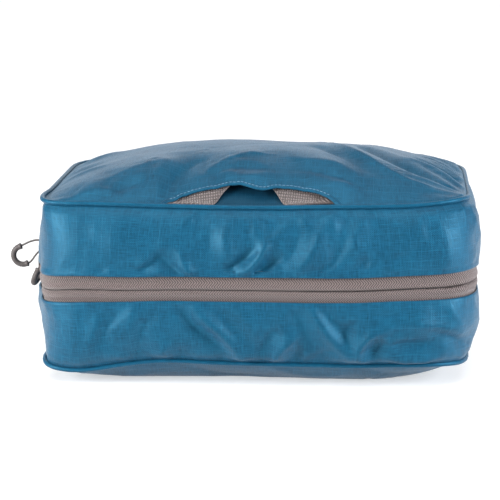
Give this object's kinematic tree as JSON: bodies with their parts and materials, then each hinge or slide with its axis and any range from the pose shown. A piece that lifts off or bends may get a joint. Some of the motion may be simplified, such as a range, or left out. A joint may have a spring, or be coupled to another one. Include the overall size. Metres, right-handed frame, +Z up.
{
  "type": "packing cube",
  "caption": "Soft-sided fabric packing cube with piped edges, a wrap-round double-slider zip, a fold-back lid and a webbing handle under a slotted top.",
  "frame": {"origin": "centre of the flat underside that the cube rests on", "axes": "+X along the long side to the right, +Y to the back where the lid is hinged, +Z up; the front with the handle slot faces -Y"},
  "size_m": [0.3105, 0.205, 0.137],
  "materials": {
    "ripstop": "thin coated ripstop nylon with a soft sheen",
    "piping_fabric": "ripstop nylon folded round a cord",
    "lining": "dark plain-weave nylon lining",
    "binding_tape": "matt woven binding tape",
    "piping_filler": "twisted cotton filler cord",
    "zip_tape": "herringbone woven polyester tape",
    "zip_coil": "nylon coil",
    "webbing": "ribbed woven webbing",
    "slider": "dark enamelled die-cast metal",
    "pull_cord": "braided polyester cord",
    "pull_grip": "soft-touch moulded plastic with fine ribs"
  },
  "bodies": {
    "base": {"bottom_panel": "ripstop", "bottom_piping": "piping_fabric", "bottom_piping_cord": "piping_filler", "lower_gusset": "ripstop", "lower_back_panel": "ripstop", "lower_seam_binding": "binding_tape", "zipper_tape_lower": "zip_tape", "zipper_coil_lower": "zip_coil", "zip_end_tab_left": "ripstop", "zip_end_tab_right": "ripstop"},
    "lid": {"top_panel": "ripstop", "handle_flap": "ripstop", "slot_hem": "ripstop", "handle_backing_panel": "lining", "top_piping": "piping_fabric", "top_piping_cord": "piping_filler", "upper_gusset": "ripstop", "upper_back_panel": "ripstop", "upper_seam_binding": "binding_tape", "zipper_tape_upper": "zip_tape", "zipper_coil_upper": "zip_coil"},
    "handle": {"handle_webbing": "webbing"},
    "slider_front": {"zip_slider_front": "slider", "slider_bail_front": "slider"},
    "slider_back": {"zip_slider_back": "slider", "slider_bail_back": "slider"},
    "pull_front": {"pull_cord_front": "pull_cord", "pull_grip_front": "pull_grip"},
    "pull_back": {"pull_cord_back": "pull_cord", "pull_grip_back": "pull_grip"}
  },
  "joints": [
    {"name": "lid_hinge", "type": "hinge", "parent": "base", "child": "lid", "pos_m": [0, 0.1028, 0.062], "axis": [-1, 0, 0], "range_deg": [0, 165]},
    {"name": "handle_lift", "type": "hinge", "parent": "lid", "child": "handle", "pos_m": [0, -0.0873, 0.116], "axis": [1, 0, 0], "range_deg": [0, 105], "deforming": ["handle_flap", "slot_hem"]},
    {"name": "slider_front_travel", "type": "slide", "parent": "base", "child": "slider_front", "axis": [0, -1, 0], "range_m": [0, 0.06]},
    {"name": "slider_back_travel", "type": "slide", "parent": "base", "child": "slider_back", "axis": [0, 1, 0], "range_m": [0, 0.012]},
    {"name": "pull_front_swing", "type": "hinge", "parent": "slider_front", "child": "pull_front", "pos_m": [-0.14385, 0.0239, 0.062], "axis": [0, -1, 0], "range_deg": [-90, 22]},
    {"name": "pull_back_swing", "type": "hinge", "parent": "slider_back", "child": "pull_back", "pos_m": [-0.14385, 0.0341, 0.062], "axis": [0, -1, 0], "range_deg": [-70, 58]}
  ]
}
